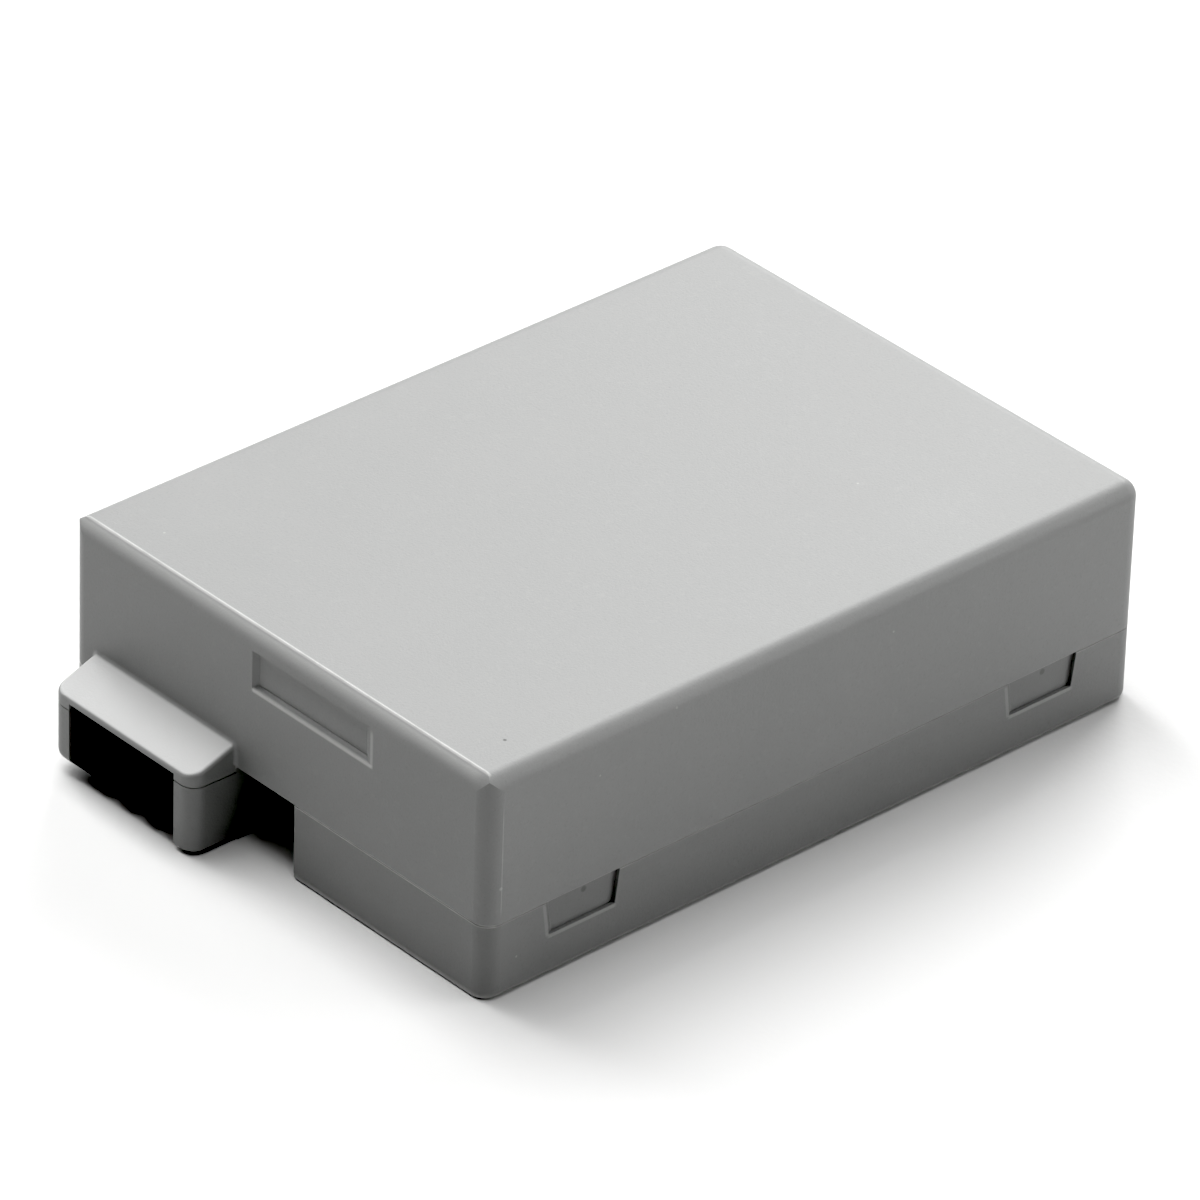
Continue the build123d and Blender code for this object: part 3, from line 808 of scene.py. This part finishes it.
def bar(name, rings, finish):
    # a closed bar through matching rings of points, in millimetres
    count = len(rings[0])
    last = (len(rings) - 1) * count
    points = [scaled(point, mm) for ring in rings for point in ring]
    faces = [tuple(range(count)), tuple(range(last, last + count))]
    for start in range(0, last, count):
        for i in range(count):
            j = (i + 1) % count
            faces.append((start + i, start + j, start + j + count, start + i + count))
    mesh = bpy.data.meshes.new(name)
    mesh.from_pydata(points, [], faces)
    shape = bmesh.new()
    shape.from_mesh(mesh)
    bmesh.ops.recalc_face_normals(shape, faces=shape.faces)
    shape.to_mesh(mesh)
    shape.free()
    mesh.materials.append(finish)
    piece = bpy.data.objects.new(name, mesh)
    bpy.context.scene.collection.objects.link(piece)
    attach(piece, "root")


footBar = {
    "startX": 1.75,
    "startRadius": 0.22,
    "endRadius": 0.5,
    "setback": 0.015,
    "lift": 0.005,
    "inside": 0.6,
    "steps": 6,
}


def footEdge():
    # the end face stands on a tighter edge than the sides, which grows to theirs round the corner
    kit = footBar
    quarter = math.pi / 2
    turn = case["cornerRadius"]
    centreX = case["halfWidth"] - turn
    centreY = case["frontY"] + turn
    shares = [i / kit["steps"] for i in range(kit["steps"] + 1)]
    stations = [(kit["startX"], 0.0)] + [(centreX, share) for share in shares]
    rings = []
    for x, share in stations:
        radius = kit["startRadius"] + (kit["endRadius"] - kit["startRadius"]) * share
        # a section's points lie so far inside the wall's face, and so far above the table
        section = [(kit["inside"], kit["lift"])]
        section += [(inset, kit["inside"]) for inset in (kit["inside"], kit["setback"])]
        for along in shares:
            inset = kit["setback"] + radius * (1 - math.cos(quarter * along))
            section.append((inset, kit["lift"] + radius * (1 - math.sin(quarter * along))))
        outX = math.cos(quarter * (share - 1))
        outY = math.sin(quarter * (share - 1))
        reach = [(turn - inset, z) for inset, z in section]
        rings.append([(x + outX * out, centreY + outY * out, z) for out, z in reach])
    bar("footEdge", rings, finishes["lower_shell"])


# a dark block that stands in for shade at the foot of the insert's first slot
firstSlotShade = {
    "left": -14.1,
    "right": -12.45,
    "front": -26.42,
    "back": -25.7,
    "bottom": 0.95,
    "top": 1.2,
    "edge": 0.1,
}


def firstSlotShadeBlock():
    # painted shade: a dark block across the foot of the insert's first slot, where only shade should show
    kit = firstSlotShade
    section = [
        (kit["back"], kit["bottom"]),
        (kit["back"], kit["top"]),
        (kit["front"], kit["top"]),
        (kit["front"], kit["bottom"] + kit["edge"]),
        (kit["front"] + kit["edge"], kit["bottom"]),
    ]
    rings = [[(x, y, z) for y, z in section] for x in (kit["left"], kit["right"])]
    bar("firstSlotShadeBlock", rings, finishes["terminal_housing"])


pocketBack = {"wallX": 17.55, "ramp": 0.7, "fullDepth": 0.45}


def pocketBacks():
    # a flat back plate in every pocket, its front end running out on the ramp
    kit = pocketBack
    bottomHalf = pocket["mouthHalf"] - (case["seamHeight"] - pocket["bottom"]) * pocket["slant"]
    number = 0
    for side in (-1, 1):
        for centreY in pocket["centresY"]:
            rings = []
            for x in (kit["wallX"], pocket["faceX"]):
                ramp = kit["ramp"] * (case["halfWidth"] - x) / kit["fullDepth"]
                rings.append([
                    (side * x, centreY - pocket["mouthHalf"] + ramp, case["seamHeight"]),
                    (side * x, centreY - bottomHalf + ramp, pocket["bottom"]),
                    (side * x, centreY + bottomHalf, pocket["bottom"]),
                    (side * x, centreY + pocket["mouthHalf"], case["seamHeight"]),
                ])
            number += 1
            bar("pocketBack" + str(number), rings, finishes["lower_shell"])


panelRim = {"setback": 0.015, "sillRise": 0.22, "leftJamb": 0.3, "rightJamb": 0.5, "steps": 4}


def panelEdges():
    # run-outs along the lower edge and both upright edges of the end panel
    kit = panelRim
    front = case["frontY"] + kit["setback"]
    back = case["frontY"] + panel["depth"]
    turns = [i / kit["steps"] for i in range(kit["steps"] + 1)]
    curve = [(front + (back - front) * t, math.sin(t * math.pi / 2)) for t in reversed(turns)]
    sill = [(back, panel["bottom"])]
    sill += [(y, panel["bottom"] + kit["sillRise"] * rise) for y, rise in curve]
    sillRings = [[(x, y, z) for y, z in sill] for x in (panel["left"], panel["right"])]
    bar("panelSill", sillRings, finishes["upper_shell"])
    rightJamb = [(panel["right"], back)]
    rightJamb += [(panel["right"] - kit["rightJamb"] * rise, y) for y, rise in curve]
    leftJamb = [(panel["left"], back), (panel["left"] + kit["leftJamb"], back), (panel["left"], front)]
    for name, outline in (("panelJamb", rightJamb), ("panelJambLeft", leftJamb)):
        jambRings = [[(x, y, z) for x, y in outline] for z in (panel["bottom"], panel["top"])]
        bar(name, jambRings, finishes["upper_shell"])


footEdge()
firstSlotShadeBlock()
pocketBacks()
panelEdges()
# the insert's lip in this stage line is the dark block of painted shade in the first slot
print("stage: foot, insert's lip, pocket backs and panel edges")


table = {
    "size": 3.0,
    "colour": (0.705, 0.705, 0.702),
    "shade": 0.985,
    "driftSize": 60.0,
    "driftRange": (0.3, 0.7),
    "toothSize": 0.5,
    "toothDepth": 0.01,
    "roughness": 0.65,
    "uneven": 0.1,
}


def paperTable():
    # a plain sheet of matt white card
    kit = table
    f = Finish("mattCard")
    drift = f.noise(kit["driftSize"])
    tooth = f.noise(kit["toothSize"], detail=3.0)
    darker = scaled(kit["colour"], kit["shade"])
    colour = f.blend(f.ramp(drift, *kit["driftRange"]), darker, kit["colour"])
    roughness = kit["roughness"] + (tooth - 0.5) * kit["uneven"]
    surface = f.close(colour, roughness, f.relief(tooth, kit["toothDepth"]))
    half = kit["size"] / 2
    corners = [(-half, -half, 0), (half, -half, 0), (half, half, 0), (-half, half, 0)]
    sheet = bpy.data.meshes.new("tableCard")
    sheet.from_pydata(corners, [], [(0, 1, 2, 3)])
    sheet.materials.append(surface)
    card = bpy.data.objects.new("tableCard", sheet)
    bpy.context.scene.collection.objects.link(card)


# soft boxes around the part, in metres and watts, each turned to the middle of the table
studio = {
    "softBoxes": {
        "overhead": {"place": (0.0, 0.0, 0.85), "size": (0.45, 0.45), "power": 3.8},
        "overheadLeft": {"place": (-0.40, 0.0, 0.75), "size": (0.45, 0.45), "power": 3.9},
        "overheadFront": {"place": (-0.08, -0.22, 0.80), "size": (0.9, 0.45), "power": 1.1},
        "behindRight": {"place": (0.36, 0.62, 0.45), "size": (0.45, 0.45), "power": 0.5},
        "behindLeft": {"place": (-0.36, 0.62, 0.45), "size": (0.45, 0.45), "power": 4.5},
        "left": {"place": (-0.72, 0.0, 0.45), "size": (0.45, 0.45), "power": 3.8},
        "lowRight": {"place": (0.56, 0.62, 0.24), "size": (0.5, 0.3), "power": 2.35},
    },
    "room": (0.0, 0.0, 0.0),
    "blackLevel": 0.05,
}


def softBox(name, kit):
    light = bpy.data.lights.new(name, "AREA")
    light.shape = "RECTANGLE"
    light.size, light.size_y = kit["size"]
    light.energy = kit["power"]
    lamp = bpy.data.objects.new(name, light)
    lamp.location = kit["place"]
    lamp.rotation_euler = (-lamp.location).to_track_quat("-Z", "Y").to_euler()
    bpy.context.scene.collection.objects.link(lamp)


def gradeFilm():
    # product-photo contrast: plain display curve with the deep shadows taken to black
    grade = bpy.context.scene.view_settings
    grade.view_transform = "Standard"
    grade.use_curve_mapping = True
    grade.curve_mapping.black_level = (studio["blackLevel"],) * 3
    grade.curve_mapping.update()


# the lens in millimetres over a 36 mm frame, the roll in degrees
view = {
    "place": (0.35907, -0.3313, 0.31609),
    "aim": (-0.00290, 0.00370, 0.00552),
    "roll": 1.923,
    "lens": 302.52,
    "frame": 36.0,
    "nearest": 0.01,
}


def placeCamera():
    film = bpy.data.cameras.new("photoView")
    film.sensor_width = view["frame"]
    film.lens = view["lens"]
    film.clip_start = view["nearest"]
    camera = bpy.data.objects.new("photoView", film)
    place = Vector(view["place"])
    facing = (Vector(view["aim"]) - place).to_track_quat("-Z", "Y").to_matrix()
    roll = Matrix.Rotation(math.radians(view["roll"]), 3, "Z")
    camera.matrix_world = Matrix.Translation(place) @ (facing @ roll).to_4x4()
    bpy.context.scene.collection.objects.link(camera)
    bpy.context.scene.camera = camera


paperTable()
for lampName, lampKit in studio["softBoxes"].items():
    softBox(lampName, lampKit)
world = bpy.data.worlds.new("studioRoom")
world.color = studio["room"]
bpy.context.scene.world = world
gradeFilm()
placeCamera()
print("stage: table, light and camera")
